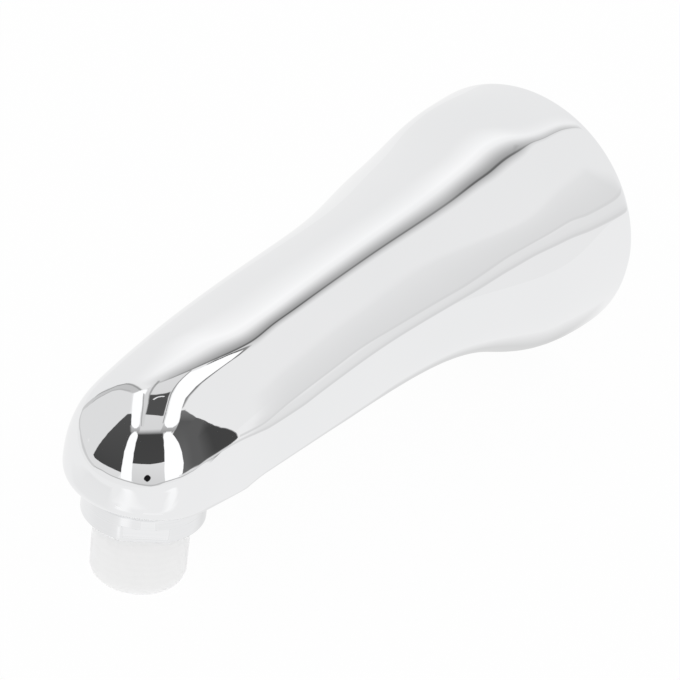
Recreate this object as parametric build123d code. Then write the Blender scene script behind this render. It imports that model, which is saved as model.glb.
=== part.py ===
# Bath spout: a hollow chrome-plated casting that screws to a wall supply, with a threaded outlet under its nose.
# Millimetres. The wall is the plane y = 0, the spout runs along -Y, +Z is up, and the inlet axis is the Y axis.
import os
from math import cos, exp, pi, radians, sin, sqrt, tan

from build123d import *

# Body: outside lines
reach = 158.0             # wall plane to the outlet axis
wall_end_radius = 35.0    # round rim against the wall
nose_radius = 19.9        # round nose, about the outlet axis
underside_z = -10.2       # cast underside where the body meets the outlet
outlet_face_z = -9.8      # face milled under the nose for the outlet
face_overrun = 2.0        # how far the milled face runs back past the elbow
outlet_edge_radius = 4.6  # rounding from the nose's wall to that face
edge_opening = 6.0        # degrees that this rounding opens out behind the nose, to run out of the sides
neck_taper = 0.018        # half-width gained per millimetre behind the outlet axis
crown_level = 26.4        # height that the crown line levels off to behind the nose
crown_drop = 10.4         # how far the crown is below that level over the outlet axis
crown_run = 32.7          # length over which the crown rises to its level
side_flare_at = 55.6      # distance from the wall where half of the side flare is gone
top_flare_at = 23.6
under_flare_at = 41.0
side_flare_power = 3.9    # how sharply each flare ends
top_flare_power = 4.4
under_flare_power = 2.6
square_at = 70.0          # distance from the wall where the round section has half turned into the nose's
square_power = 4.0
crown_power = 3.2         # fullness of the section above the belt at the nose, 2 is an ellipse
under_power = 2.95        # the same below the belt
nose_belt = 0.075         # height of the widest line at the nose, as a part of the section's height

# Body: walls and inside
casting_wall = 3.0
rear_recess = 24.0        # wall plane to the web that closes the shell
web_thickness = 4.0
hub_radius = 18.5
hub_recess = 14.0         # wall plane to the rear face of the inlet hub
hub_length = 30.0
outlet_boss_radius = 15.5
outlet_boss_height = 11.0
elbow_radius = 4.0        # inner bend of the turn from the body to the outlet

# Threads, as plain cylinders at their outside or inside diameter
pipe_thread_radius = 10.48      # half-inch pipe thread, outside
pipe_thread_bore = 9.3          # half-inch pipe thread, inside
bush_thread_radius = 13.2       # three-quarter-inch pipe thread, outside
thread_clearance = 0.05

# Inlet bush and its seal
bush_flats = 32.0
bush_hexagon = 6.0
bush_shank = 22.0
bush_thread_depth = 18.0
bush_water_radius = 7.0
ring_section = 1.2
ring_clearance = 0.05

# Outlet nipple, gasket and thread cap
gasket_thickness = 1.0
gasket_radius = 13.8
collar_radius = 14.75
collar_height = 7.05
collar_flats = 27.0
flats_height = 4.3
flats_turn = 39.0         # turn of the flats about the outlet axis, from the front
collar_chamfer = 0.5
nipple_bore = 7.6
nipple_upper_thread = 10.0
nipple_lower_thread = 14.8
thread_chamfer = 1.0
cap_gap = 0.2
cap_clearance = 0.12
cap_wall = 0.85
cap_floor = 1.5
cap_end_room = 1.2
cap_edge_radius = 3.2

# Sections of the body: distances from the wall, then turns about the elbow
station_steps = [0, 7, 16, 26, 37, 49, 64, 84, 108]
elbow_turns = [10, 20, 31, 43, 56, 72, 90]
section_points = 32

outlet_y = -reach
elbow_y = outlet_y + nose_radius


def fade(y, half_way, power):
    """Falls smoothly from 1 at the wall towards 0 at the nose, and is a half at half_way."""
    return 1 / (1 + (max(-y, 0) / half_way) ** power)


def flare(y, end_y, half_way, power):
    """Share of the wall-end flare that is left at y: 1 at the wall and 0 at end_y."""
    rest = fade(end_y, half_way, power)
    return (fade(y, half_way, power) - rest) / (1 - rest)


class Skin:
    """The spout's smooth surface, moved in by an inset for the inside of the casting."""

    def __init__(self, inset):
        self.inset = inset
        spread = self.half_width(outlet_y + 1) - self.half_width(outlet_y)
        self.nose_y = outlet_y + self.half_width(outlet_y) * spread
        self.nose = self.half_width(outlet_y) * sqrt(1 + spread ** 2)

    def half_width(self, y):
        neck = nose_radius + neck_taper * (y - outlet_y)
        gain = wall_end_radius - nose_radius - neck_taper * reach
        return neck + gain * flare(y, outlet_y, side_flare_at, side_flare_power) - self.inset

    def top(self, y):
        crown = crown_level - crown_drop * exp((outlet_y - y) / crown_run)
        gain = wall_end_radius - crown_level + crown_drop * exp(outlet_y / crown_run)
        return crown + gain * flare(y, outlet_y, top_flare_at, top_flare_power) - self.inset

    def under(self, y):
        gain = wall_end_radius + underside_z
        return underside_z - gain * flare(y, elbow_y, under_flare_at, under_flare_power) + self.inset

    def squared(self, y):
        return 1 - fade(y, square_at, square_power)

    def belt(self, y):
        share = 0.5 + (nose_belt - 0.5) * self.squared(y) ** 2
        return self.under(y) + (self.top(y) - self.under(y)) * share

    def plan(self, x, y):
        """How far out a point is in plan, 1 on the outline. The nose's arc runs on from the sides."""
        if y >= outlet_y:
            return abs(x) / self.half_width(y)
        return sqrt(x * x + (y - self.nose_y) ** 2) / self.nose

    def holds(self, x, y, z):
        """True inside the crown, or inside the straight wall under the belt."""
        out = self.plan(x, y)
        belt = self.belt(y)
        if out > 1 or z <= belt:
            return out <= 1
        power = 2 + (crown_power - 2) * self.squared(y) ** 3
        return out ** power + ((z - belt) / (self.top(y) - belt)) ** power <= 1

    def section(self, y, turn):
        """Closed curve round the body in the plane at y, or in a plane turned about the elbow's line."""
        lean = radians(turn)
        elbow_z = self.under(elbow_y) - elbow_radius
        if turn == 0:
            foot_y, foot_z = y, self.under(y)
            rise = self.belt(y) - foot_z
        else:
            foot_y = elbow_y - elbow_radius * sin(lean)
            foot_z = elbow_z + elbow_radius * cos(lean)
            tall = self.belt(elbow_y) - elbow_z
            rise = 1 / sqrt((cos(lean) / tall) ** 2 + (sin(lean) / nose_radius) ** 2) - elbow_radius
        up = (-sin(lean), cos(lean))
        centre_y = foot_y + up[0] * rise
        centre_z = foot_z + up[1] * rise

        def reach_out(across, along):
            near, far = 0.0, 3 * wall_end_radius
            for _ in range(40):
                middle = (near + far) / 2
                inside = self.holds(
                    across * middle,
                    centre_y + up[0] * along * middle,
                    centre_z + up[1] * along * middle,
                )
                near, far = (middle, far) if inside else (near, middle)
            return near

        half = reach_out(1.0, 0.0)
        low_power = 2 + (under_power - 2) * self.squared(centre_y)
        points = []
        for step in range(section_points):
            angle = -pi / 2 + 2 * pi * step / section_points
            across, along = cos(angle), sin(angle)
            if along > 0:
                out = reach_out(across, along)
            else:
                out = ((abs(across) / half) ** low_power + (abs(along) / rise) ** low_power) ** (-1 / low_power)
            points.append((across * out, centre_y + up[0] * along * out, centre_z + up[1] * along * out))
        return Wire([Edge.make_spline([Vector(*point) for point in points], periodic=True)])

    def solid(self):
        sections = [self.section(-step, 0) for step in station_steps]
        sections.append(self.section(elbow_y, 0))
        sections += [self.section(elbow_y, turn) for turn in elbow_turns]
        return Solid.make_loft(sections)


def below(z, back_y):
    """A block under the level z, from back_y to past the nose."""
    size = 4 * wall_end_radius
    return Pos(0, back_y - size / 2, z - size / 2) * Box(size, size, size)


def along_y(radius, rear_y, length):
    """A round bar on the inlet axis, from rear_y away from the wall."""
    return Pos(0, rear_y - length / 2, 0) * Rot(90, 0, 0) * Cylinder(radius, length)


def down_z(radius, top_z, length):
    """A round bar on the outlet axis, from top_z down."""
    return Pos(0, outlet_y, top_z - length / 2) * Cylinder(radius, length)


def nose_outline(grow):
    """The nose in plan, with sides that open out behind it."""
    radius = nose_radius + grow
    front = CenterArc((0, outlet_y), radius, 180 + edge_opening, 180 - 2 * edge_opening)
    back = 2 * nose_radius
    half = radius / cos(radians(edge_opening)) + back * tan(radians(edge_opening))
    sides = Polyline(front @ 1, (half, outlet_y + back), (-half, outlet_y + back), front @ 0)
    return make_face([front, sides])


def outlet_edge_cutter():
    """What is left outside the rounded edge under the nose."""
    height = 2 * outlet_edge_radius
    core = Pos(0, 0, outlet_face_z) * extrude(nose_outline(0.0), height)
    base = core.edges().group_by(Axis.Z)[0].sort_by(Axis.Y)
    core = fillet(base[:-1], outlet_edge_radius)
    around = Pos(0, 0, outlet_face_z) * extrude(nose_outline(nose_radius), outlet_edge_radius)
    return around - core


outside = Skin(0.0)
inside = Skin(casting_wall)
hub_rear_y = -hub_recess
groove_depth = 2 * ring_section + 2 * ring_clearance
groove_radius = bush_thread_radius + thread_clearance + 2 * ring_section + 2 * ring_clearance
boss_top_z = outlet_face_z + outlet_boss_height
collar_top_z = outlet_face_z - gasket_thickness
collar_bottom_z = collar_top_z - collar_height
thread_end_z = collar_bottom_z - nipple_lower_thread


def spout_body():
    shell = outside.solid() - below(outlet_face_z, elbow_y + face_overrun)
    hollow = inside.solid() - below(outlet_face_z + casting_wall, elbow_y + face_overrun)
    web = Pos(0, -rear_recess - web_thickness / 2, 0) * Box(
        4 * wall_end_radius, web_thickness, 4 * wall_end_radius
    )
    hub = along_y(hub_radius, hub_rear_y, hub_length)
    boss = down_z(outlet_boss_radius, boss_top_z, outlet_boss_height)
    body = shell - (hollow - web - hub - boss)
    body -= outlet_edge_cutter()
    body -= along_y(bush_thread_radius + thread_clearance, hub_rear_y, hub_length)
    body -= along_y(groove_radius, hub_rear_y, groove_depth)
    body -= down_z(pipe_thread_radius + thread_clearance, boss_top_z, outlet_boss_height)
    return body


def inlet_bush():
    hexagon = Pos(0, hub_rear_y, 0) * Rot(-90, 0, 0) * extrude(
        RegularPolygon(bush_flats / 2, 6, major_radius=False), bush_hexagon
    )
    bush = hexagon + along_y(bush_thread_radius, hub_rear_y, bush_shank)
    rear_y = hub_rear_y + bush_hexagon
    bush -= along_y(pipe_thread_bore, rear_y, bush_thread_depth)
    bush -= along_y(bush_water_radius, rear_y, bush_hexagon + bush_shank)
    return bush


def inlet_o_ring():
    middle_y = hub_rear_y - groove_depth / 2
    middle_radius = groove_radius - ring_clearance - ring_section
    return Pos(0, middle_y, 0) * Rot(90, 0, 0) * Torus(middle_radius, ring_section)


def outlet_gasket():
    ring = down_z(gasket_radius, outlet_face_z, gasket_thickness)
    return ring - down_z(pipe_thread_radius + thread_clearance, outlet_face_z, gasket_thickness)


def outlet_nipple():
    collar = down_z(collar_radius, collar_top_z, collar_height)
    collar = chamfer(collar.edges().filter_by(GeomType.CIRCLE), collar_chamfer)
    flats = Pos(0, outlet_y, collar_bottom_z + flats_height / 2) * Rot(0, 0, flats_turn) * (
        Box(3 * collar_radius, 3 * collar_radius, flats_height)
        - Box(3 * collar_radius, collar_flats, flats_height)
    )
    collar -= flats
    upper = down_z(pipe_thread_radius, collar_top_z + gasket_thickness + nipple_upper_thread,
                   gasket_thickness + nipple_upper_thread)
    lower = down_z(pipe_thread_radius, collar_bottom_z, nipple_lower_thread)
    upper = chamfer(upper.edges().filter_by(GeomType.CIRCLE).sort_by(Axis.Z)[-1:], thread_chamfer)
    lower = chamfer(lower.edges().filter_by(GeomType.CIRCLE).sort_by(Axis.Z)[:1], thread_chamfer)
    nipple = collar + upper + lower
    bore_top = collar_top_z + gasket_thickness + nipple_upper_thread
    return nipple - down_z(nipple_bore, bore_top, bore_top - thread_end_z)


def thread_cap():
    top_z = collar_bottom_z - cap_gap
    room_z = thread_end_z - cap_end_room
    inner_radius = pipe_thread_radius + cap_clearance
    cap = down_z(inner_radius + cap_wall, top_z, top_z - room_z + cap_floor)
    cap = fillet(cap.edges().filter_by(GeomType.CIRCLE).sort_by(Axis.Z)[:1], cap_edge_radius)
    hollow = down_z(inner_radius, top_z, top_z - room_z)
    hollow = fillet(hollow.edges().filter_by(GeomType.CIRCLE).sort_by(Axis.Z)[:1], cap_edge_radius - cap_wall)
    return cap - hollow


os.makedirs("parts", exist_ok=True)
for make in (spout_body, inlet_bush, inlet_o_ring, outlet_gasket, outlet_nipple, thread_cap):
    export_step(make(), f"parts/{make.__name__}.step")
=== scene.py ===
import math

import bmesh
import bpy
from mathutils import Matrix, Vector


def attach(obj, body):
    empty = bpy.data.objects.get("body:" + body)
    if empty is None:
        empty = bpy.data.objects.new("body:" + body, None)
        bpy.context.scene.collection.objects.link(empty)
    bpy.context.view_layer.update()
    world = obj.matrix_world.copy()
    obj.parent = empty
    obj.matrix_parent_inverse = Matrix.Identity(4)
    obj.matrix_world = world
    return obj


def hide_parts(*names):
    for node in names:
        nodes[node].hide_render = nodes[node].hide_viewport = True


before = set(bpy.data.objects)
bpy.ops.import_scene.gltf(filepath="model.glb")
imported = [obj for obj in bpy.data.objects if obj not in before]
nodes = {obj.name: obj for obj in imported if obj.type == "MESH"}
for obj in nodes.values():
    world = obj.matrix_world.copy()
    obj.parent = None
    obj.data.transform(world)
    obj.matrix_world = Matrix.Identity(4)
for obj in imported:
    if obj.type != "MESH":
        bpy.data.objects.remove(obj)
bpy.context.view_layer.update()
print("frame loaded:", sorted(nodes))

mm = 0.001   # the pieces are written in millimetres, Blender's unit is the metre


def deselectAll():
    if bpy.context.object and bpy.context.object.mode != "OBJECT":
        bpy.ops.object.mode_set(mode="OBJECT")
    bpy.ops.object.select_all(action="DESELECT")


# sRGB hex to the linear values that the sockets take
def linearColour(hexText, alpha=1.0):
    parts = [int(hexText[i:i + 2], 16) / 255 for i in (0, 2, 4)]
    return tuple(p / 12.92 if p <= 0.04045 else ((p + 0.055) / 1.055) ** 2.4 for p in parts) + (alpha,)


# One node with its settings and links: links maps an input to the socket that feeds it
def addNode(tree, kind, settings=None, links=None):
    node = tree.nodes.new(kind)
    for name, value in (settings or {}).items():
        if name in node.inputs:
            node.inputs[name].default_value = value
        else:
            setattr(node, name, value)
    for name, source in (links or {}).items():
        tree.links.new(source, node.inputs[name])
    return node


def newMaterial(name):
    material = bpy.data.materials.new(name)
    material.use_nodes = True
    material.node_tree.nodes.clear()
    return material, material.node_tree


def wear(piece, material):
    piece.data.materials.clear()
    piece.data.materials.append(material)


# The camera stands in front, above and to the right of the nose, with a long lens
cameraSetup = {
    "azimuth": 31.29, "elevation": 30.64, "roll": 7.23,                       # degrees
    "distance": 0.9, "aim": (0.0, -0.079, 0.0), "clipStart": 0.05,            # metres
    "lens": 193.6, "sensor": 36.0,                                            # millimetres
    "shiftX": -0.0073, "shiftY": -0.0292,                                     # share of the frame
}


def addCamera(setup):
    az, el, roll = (math.radians(setup[k]) for k in ("azimuth", "elevation", "roll"))
    look = Vector((-math.sin(az) * math.cos(el), math.cos(az) * math.cos(el), -math.sin(el)))
    level = Vector((math.cos(az), math.sin(az), 0))
    upright = level.cross(look)
    right = math.cos(roll) * level + math.sin(roll) * upright
    up = -math.sin(roll) * level + math.cos(roll) * upright
    data = bpy.data.cameras.new("productCamera")
    data.lens = setup["lens"]
    data.sensor_width = setup["sensor"]
    data.shift_x = setup["shiftX"]
    data.shift_y = setup["shiftY"]
    data.clip_start = setup["clipStart"]
    camera = bpy.data.objects.new("productCamera", data)
    bpy.context.scene.collection.objects.link(camera)
    place = Matrix((right, up, -look)).transposed().to_4x4()
    place.translation = Vector(setup["aim"]) - look * setup["distance"]
    camera.matrix_world = place
    bpy.context.scene.camera = camera


addCamera(cameraSetup)
print("camera placed")

# A light tent round the spout. Places in it are a side angle to the right of the camera's line
# and an along angle that starts at the camera and goes up over the top, both in degrees.
# Cards that hang close by are placed in millimetres: on the wall by (y, z), on the roof and the
# table by (x, y). A card is rows of (along, left side, right side) and hangs on the tent unless it
# says where; tones are its low and high end, fades its soft borders (left, right, low, high)
tent = {
    "roll": 13.0, "clothRadius": 1.0, "cardRadius": 0.345, "centre": (0.0, -0.15, 0.01), "cloth": 0.9,
    "wall": 0.045, "roof": 0.038, "table": -0.0353,               # metres: x of the wall, z of the others
    "tentStep": 0.0015, "wallStep": 0.0001, "flatStep": 0.00001,   # from card to card: share of the radius, metres
    "rowGap": 2.5, "mostRows": 8, "cardColumns": 14, "lineSteps": 10, "edgeSteps": 8, "edgeCore": 0.35,
    "cards": {
        "leftPale": {"tones": (0.8, 0.8), "fades": (2, 1, 4, 3), "rows": [
            (6, -88, -72.5), (40, -88, -70), (88, -88, -52), (100, -88, -44), (118, -88, -38), (130, -88, -39),
            (146, -88, -48), (170, -88, -55), (196, -88, -51), (205, -88, -61), (212, -88, -71),
            (224, -88, -76), (247, -88, -79), (279, -88, -79.3), (302, -88, -77), (319, -88, -72.5),
            (333, -88, -66), (344, -88, -59), (348, -88, -53.5), (352, -88, -46), (354, -88, -38.5),
            (366, -88, -38.5)]},
        "leftWing": {"tones": (0.062, 0.085), "fades": (0.8, 0.5, 1, 1), "rows": [
            (-10, -75.2, -72), (-4, -75.4, -67), (1.2, -75.6, -59), (4.2, -75.7, -51.5), (5.4, -75.7, -44),
            (6, -75.7, -37.8), (12, -75.6, -40.5), (25, -75.2, -43.8), (39, -73.8, -46.5), (55, -70.5, -46.7),
            (71, -64.6, -44), (80, -59, -44), (89, -52.6, -44), (94, -48.4, -43.5), (97.4, -45.6, -43.5)]},
        "rightWing": {"tones": (0.155, 0.105), "fades": (0.5, 3, 2, 0.6), "rows": [
            (14, 36, 39), (18, 35.6, 45), (22, 34.5, 51), (29.5, 30.5, 61), (36.5, 24.5, 70), (43, 19, 73),
            (55, 5, 76), (65.5, -9, 78), (72, -9, 79), (83, -9, 80)]},
        "rightWingTop": {"tones": (0.105, 0.2), "fades": (0.5, 1.5, 0.6, 1), "rows": [
            (83, -9, 60), (85, -9.5, 34), (88, -10, 10.5), (92, -11, -1), (96, -12, -9)]},
        "rightWingFoot": {"on": "wall", "tones": (0.112, 0.112), "fades": (8, 0.6, 1, 2), "rows": [
            (1.5, -134, -129.5), (3, -139, -130), (6, -158, -131), (8, -164, -132), (13, -166, -134.3),
            (22, -166, -138), (36, -166, -141), (58, -166, -142), (100, -166, -139.5)]},
        "rightWingTip": {"on": "wall", "tones": (0.06, 0.06), "fades": (14, 0.6, 1, 20), "rows": [
            (1.5, -134, -129.5), (3, -137, -130), (6, -140, -131), (8, -142, -132), (13, -143, -134.3),
            (22, -144, -138), (36, -144, -141)]},
        "middleDark": {"tones": (0.062, 0.058), "fades": (0.5, 1.5, 0.8, 1), "rows": [
            (24, -33.7, -31), (26.6, -34.3, -14), (29, -35, -4), (31, -35.5, 1), (40, -37.9, -5),
            (55, -40.5, -14), (62, -40.5, -18), (69.5, -40, -21)]},
        "lowerGrey": {"tones": (0.7, 0.8), "fades": (0.5, 0.5, 1, 0.5), "rows": [
            (-2, -17, 4), (0, -22, 12), (4.5, -25.5, 18.5), (15, -31, 12), (24, -34.5, 6.5), (26.5, -14, 5),
            (29, -4, 4)]},
        "lens": {"tones": (0.012, 0.012), "fades": (0.7, 0.7, 0.7, 0.7), "rows": [
            (3.6, -5.5, -4), (5, -9, -3), (7, -10.6, -2.8), (9, -11, -3.4), (11, -10.6, -5.6), (12, -9.8, -8)]},
        "pinch": {"tones": (0.36, 0.62), "fades": (1.5, 1.5, 3, 3), "rows": [
            (70, -44.2, -10.4), (72.5, -44.8, -9.4), (75, -44.8, -9.4), (81, -44.8, -10)]},
        "upperGrey": {"tones": (0.74, 0.76), "fades": (0.5, 0.5, 5, 0.5), "rows": [
            (75, -39, -23.5), (88, -38.5, -23.5), (96, -37.5, -23.5)]},
        "topGrey": {"tones": (0.76, 0.78), "fades": (0.5, 0.5, 0.5, 0.8), "rows": [
            (115, -31.5, -22.5), (119.6, -30.7, -21), (121, -28.8, -20.2), (122.4, -27, -18.9),
            (123.2, -24.6, -18.9)]},
        "stripGap": {"tones": (0.7, 0.72), "fades": (0.4, 0.4, 2, 1), "rows": [
            (80, -40.5, -37.2), (90, -40, -36.6), (98, -39, -35.3), (108, -36.6, -33), (112, -35, -31.8),
            (116, -33.4, -30.6), (118, -32, -30.4)]},
        "upperDark": {"tones": (0.085, 0.085), "fades": (0.6, 0.6, 0.6, 0.6), "rows": [
            (92.5, -27, -25.8), (94, -30, -25.7), (96, -35.4, -25.6), (107, -33, -25), (112, -31.7, -24.6),
            (115.7, -30.6, -24)]},
        "leftSeam": {"tones": (0.58, 0.66), "fades": (1.2, 1, 1, 3), "rows": [
            (119, -37, -32.5), (123, -40, -34), (130, -44, -37.5), (136.5, -48.5, -42.5), (142, -52, -46.5),
            (150, -55.5, -50.5), (170, -58.5, -54), (185, -56.5, -52.5), (197, -52, -48.5)]},
        "tailShade": {"tones": (0.34, 0.1), "fades": (0.5, 1.6, 3, 0.8), "rows": [
            (100, -13.2, -12.2), (107, -14.2, -12.4), (111.2, -12.2, -10.2), (113.1, -9.4, -7.2),
            (114.7, -6, -3.8), (116.3, -2, 0.4), (117.6, -0.6, 1.8), (118.6, 0, 2.6), (119.4, -2.4, 1),
            (120.2, -5.8, -2.8), (121, -9.8, -6.8), (121.6, -13.6, -11)]},
        "leftStrip": {"tones": (1.12, 1.12), "fades": (0.4, 0.4, 1.2, 2), "rows": [
            (-2, -34.6, -22.5), (0, -35.8, -22.5), (12, -40.5, -28.5), (25, -43.8, -33.7), (39.5, -46.5, -37.8),
            (54.5, -46.7, -40), (62, -46.1, -40), (66, -45.4, -40.1), (69, -44.4, -40.8), (71, -43.2, -41.6)]},
        "rightStrip": {"tones": (1.12, 1.12), "fades": (0.4, 0.4, 1, 2), "rows": [
            (4, 18.8, 20), (5.5, 17.8, 27), (7, 16.8, 33), (10, 14.8, 36.2), (15, 11.6, 37), (22, 7, 34.5),
            (29.5, 2.6, 30.7), (43, -6, 19), (52, -11.8, 9), (55.3, -13.3, 5.1), (63, -17.6, -5),
            (66.4, -18.4, -9.4), (69, -17.6, -12.4)]},
        "leftStripTop": {"tones": (1.12, 1.12), "fades": (0.4, 0.4, 1, 0.6), "rows": [
            (77.5, -43, -41.6), (79.5, -44.2, -40.6), (83.3, -44.9, -39.8), (90, -44.2, -39.3),
            (98, -42.8, -38.2), (107, -40.5, -35.8), (111.5, -39, -34.5), (115.4, -37.6, -32.9),
            (118, -36.5, -31.4), (119.3, -33.5, -30.8)]},
        "rightStripTop": {"tones": (1.12, 1.12), "fades": (0.4, 0.4, 1, 0.4), "rows": [
            (76, -18.6, -13.4), (78.4, -21.2, -10.8), (82, -22.6, -9.8), (87.6, -23, -11.1), (99, -23, -12.8),
            (107, -22.8, -13.8), (111.2, -22.7, -11.8), (113.1, -22.6, -9), (114.7, -22.4, -5.4),
            (116.3, -22, -1.3), (117.6, -21.8, 0), (118.6, -21.6, 0.7), (119.2, -21.5, -1.6),
            (119.9, -21.4, -4.3), (120.6, -21, -7.8), (121.2, -20.4, -11.3), (121.7, -19.8, -15),
            (122.2, -19, -18.7)]},
        "leftShade": {"on": "table", "tones": (0.87, 0.89), "fades": (60, 10, 60, 14), "rows": [
            (-340, -150, -34), (-270, -110, -20), (-240, -80, -14), (-214, -60, -10), (-190, -50, -10)]},
        "glowLeft": {"on": "table", "tones": (1.06, 1.03), "fades": (26, 26, 90, 30), "rows": [
            (-450, 30, 56), (-350, 30, 44), (-270, 22, 28), (-240, 17, 21)]},
        "glowRight": {"on": "table", "tones": (1.06, 1.03), "fades": (24, 24, 25, 8), "rows": [
            (-250, 160, 190), (-232, 140, 170), (-212, 100, 130), (-198, 78, 98), (-190, 56, 66)]},
        "glowLow": {"on": "table", "tones": (1.03, 1.03), "fades": (8, 8, 20, 8), "rows": [
            (-235, 13, 19), (-215, 8, 13), (-202, 5, 9)]},
        "collarGlow": {"on": "table", "tones": (1.04, 1.04), "fades": (3, 3, 6, 4), "rows": [
            (-216, 3.2, 6), (-202, 3.2, 6)]},
        "flatGlow": {"on": "table", "tones": (0.968, 0.968), "fades": (1.5, 1.5, 1.5, 1.5), "rows": [
            (-201, 29, 32), (-197, 25.5, 37), (-193, 22.5, 41), (-190, 25, 44), (-186.5, 29, 41),
            (-182.5, 33, 37)]},
        "underShade": {"on": "table", "tones": (0.84, 0.69), "fades": (20, 14, 16, 22), "rows": [
            (-140, -16, 18), (-60, -18, 22), (-30, -20, 16), (0, -30, 22)]},
    },
    # thin lines in the tent: places that the line goes through, with its half width, soft border and tone
    "lines": {
        "topGreyLeft": {"tone": 0.4, "half": 0.15, "fade": 0.25, "line": [
            (-26.8, 123), (-28.9, 119.8), (-30.9, 115.6)]},
        "topGreyRight": {"tone": 0.3, "half": 0.15, "fade": 0.25, "line": [
            (-18.8, 123), (-21.3, 120.2), (-22.8, 116.8), (-23.6, 112), (-24.1, 104), (-24.5, 92), (-24, 82)]},
        "gapLine": {"tone": 0.42, "half": 0.12, "fade": 0.25, "line": [
            (-32.4, 117), (-34.6, 110), (-37.2, 98), (-38.4, 88), (-38.6, 80)]},
        "upperMark": {"tone": 0.92, "half": 0.25, "fade": 0.2, "line": [
            (-30.3, 112), (-29.3, 113.1), (-28.2, 113.9), (-27, 114), (-26, 113.6)]},
        "crescentLow": {"tone": 0.36, "half": 0.25, "fade": 0.45, "line": [
            (-33, 119.5), (-34.4, 123), (-38, 130), (-43, 136.5), (-47, 142), (-50.9, 150), (-54.2, 170)]},
        "crescentTop": {"tone": 0.5, "half": 0.25, "fade": 0.5, "line": [
            (-38, 121), (-40, 123.5), (-44, 130), (-48.5, 136.5), (-52, 142), (-55.5, 150), (-58.5, 170)]},
        "frontLine": {"tone": 0.52, "half": 0.5, "fade": 0.7, "line": [
            (64, 26), (56, 17.5), (40, 10), (32, 8), (17, 4), (5, -0.5), (-10, -1.8), (-24, -2.6), (-38, -5.2),
            (-53.4, -11), (-59, -15.5), (-66, -27)]},
        "leftLine": {"tone": 0.66, "half": 1, "fade": 1.6, "line": [
            (-66, -27), (-72.5, -41), (-77, -58), (-79.3, -81), (-79, -113), (-76, -135), (-71, -148),
            (-63, -154), (-55.6, -158), (-50.4, -163.5)]},
    },
    # edges of panels close by: columns of (offset in millimetres, tone, cover) across the edge, and the
    # places along it with the strength of the whole edge, the strength of its positive side, and the
    # spread of its offsets, each 1 where it is left out
    "edges": {
        "panelEdge": {"on": "roof", "columns": [
            (3.8, 0.78, 0), (1.9, 0.66, 0.8), (0.4, 0.5, 1), (0, 0.14, 1), (-0.45, 0.15, 1), (-1, 0.37, 1),
            (-2.2, 0.45, 1), (-3.8, 0.6, 1), (-5.8, 0.8, 1), (-7.6, 0.97, 1), (-10.5, 1.05, 1), (-15, 1, 0.8),
            (-26, 0.93, 0)], "line": [
            (-15, -152, 0, 0, 0.6), (-9.8, -145, 0.6, 0, 0.7), (-3.8, -137, 0.85, 0), (2.6, -128.5, 1, 0, 1.4),
            (6, -121, 1, 0.7, 1.2), (6, -112), (6.6, -102), (6.6, -85, 0.9), (6.3, -65, 0.9), (6, -50, 0.88),
            (5.3, -38, 0.85), (5, -29), (6.8, -24.8), (9.7, -20.4, 0.9, 0.9, 0.8), (11.3, -16, 0.6, 0.7, 0.4),
            (13.2, -10.5, 0.5, 0.6, 0.3), (14.4, -0.3, 0.45, 0.5, 0.25), (16.5, 6, 0.3, 0.4, 0.2),
            (18.5, 9, 0, 0, 0.2)]},
        "lowerSeam": {"on": "wall", "columns": [
            (-0.9, 0.8, 0), (-0.35, 0.745, 1), (0.35, 0.745, 1), (1.2, 0.8, 1), (3, 0.84, 1), (6, 0.85, 1),
            (9, 0.85, 0)], "line": [
            (-178, 5, 0.6, 0), (-163, 5, 1, 0), (-152, 5, 1, 0), (-139, 2, 1, 0), (-129, -1.5, 1, 0),
            (-121, -5, 1, 0.8), (-115, -6.8), (-104, -6.9), (-97.6, -5.4), (-83.4, -1.3), (-66.9, 4.9),
            (-52, 12.3), (-44, 16), (-38, 17.9), (-28.5, 19.5), (-19, 18.3), (-10, 15.5), (1.8, 13.4),
            (10, 12.9, 0.9), (22, 13, 0, 0)]},
        "upperSeam": {"on": "wall", "columns": [
            (-0.9, 0.8, 0), (-0.35, 0.745, 1), (0.35, 0.745, 1), (1.2, 0.785, 1), (10, 0.81, 1), (22, 0.85, 1),
            (32, 0.9, 0)], "line": [
            (-131, 2, 1, 0), (-126, 0, 1, 0), (-119.5, -1.5, 1, 0.7), (-110.7, 0.7), (-96.2, 3.7), (-83.7, 7.2),
            (-70, 9.8), (-55.2, 16), (-47.8, 19.8), (-40.7, 23.2), (-33.5, 25.7), (-23.7, 26.8), (-16, 25.4),
            (-7.8, 21.8), (5.8, 19.7), (12.8, 20.4, 0.9), (22, 23, 0, 0)]},
    },
}


def tentPoint(side, along, radius):
    az = math.radians(cameraSetup["azimuth"])
    roll = math.radians(tent["roll"])
    ahead = Vector((-math.sin(az), math.cos(az), 0))
    level = Vector((math.cos(az), math.sin(az), 0))
    upright = Vector((0, 0, 1))
    right = math.cos(roll) * level - math.sin(roll) * upright
    up = math.sin(roll) * level + math.cos(roll) * upright
    s, a = math.radians(side), math.radians(along)
    way = math.sin(s) * right + math.cos(s) * (math.sin(a) * up - math.cos(a) * ahead)
    return Vector(tent["centre"]) + radius * way


# Each card hangs a little in front of the one before it
def hungPoint(surface, across, along, step):
    if surface == "tent":
        return tentPoint(across, along, tent["cardRadius"] * (1 - tent["tentStep"] * step))
    if surface == "wall":
        return Vector((tent["wall"] - tent["wallStep"] * step, across * mm, along * mm))
    return Vector((across * mm, along * mm, tent[surface] + tent["flatStep"] * step))


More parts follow.
